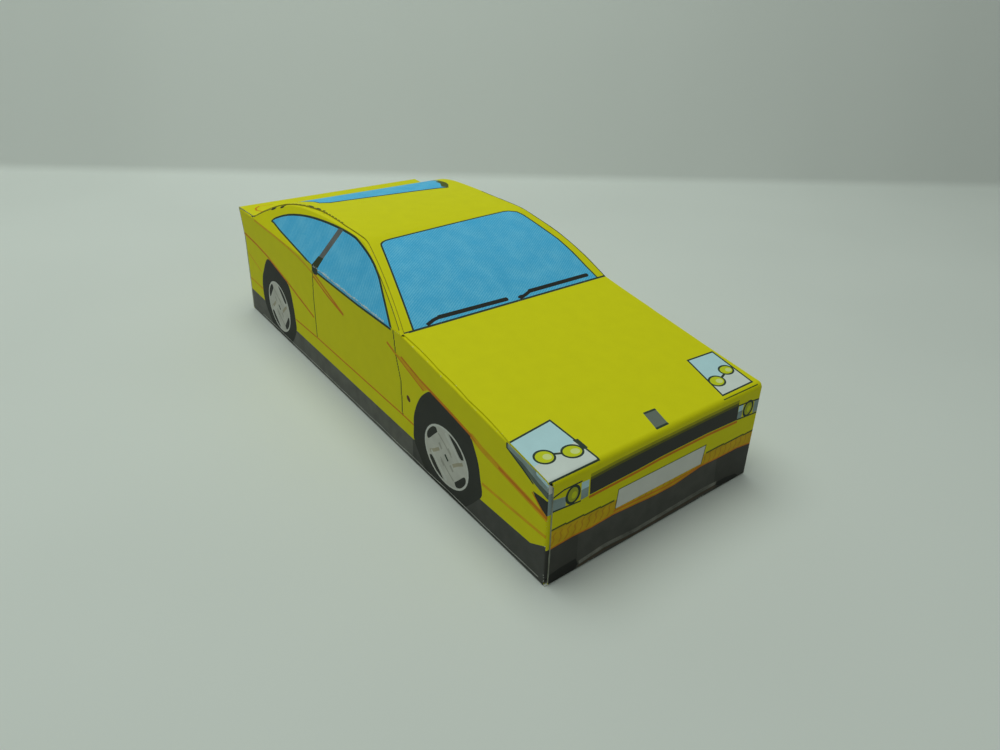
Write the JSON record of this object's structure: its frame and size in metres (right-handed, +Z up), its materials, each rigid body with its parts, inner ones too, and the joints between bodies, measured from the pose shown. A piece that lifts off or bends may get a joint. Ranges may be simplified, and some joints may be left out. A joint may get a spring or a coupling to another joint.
{
  "type": "folded card model coupe car",
  "caption": "Small printed, folded and glued card model of a two-door coupe car: box-shaped body, leaning cabin sides and one curved strip for windscreen, roof and rear window.",
  "frame": {"origin": "middle of the model's length and width, on the surface it stands on", "axes": "+Z up, the car's front faces -Y, +X to the car's left side"},
  "size_m": [0.0426, 0.1008, 0.0297],
  "materials": {
    "printed_card": "matt printed card",
    "card_tab": "matt card, inked at the fold"
  },
  "bodies": {
    "root": {"base_panel": "printed_card", "front_panel": "printed_card", "bonnet_panel": "printed_card", "roof_strip": "printed_card", "boot_panel": "printed_card", "spoiler_panel": "printed_card", "tail_panel": "printed_card", "side_panel_right": "printed_card", "side_panel_left": "printed_card", "cabin_panel_right": "printed_card", "cabin_panel_left": "printed_card", "front_tab_right": "card_tab", "front_tab_left": "card_tab", "bonnet_tab_right": "card_tab", "bonnet_tab_left": "card_tab", "roof_tab_right": "card_tab", "roof_tab_left": "card_tab", "boot_tab_right": "card_tab", "boot_tab_left": "card_tab", "tail_tab_right": "card_tab", "tail_tab_left": "card_tab"}
  },
  "joints": []
}
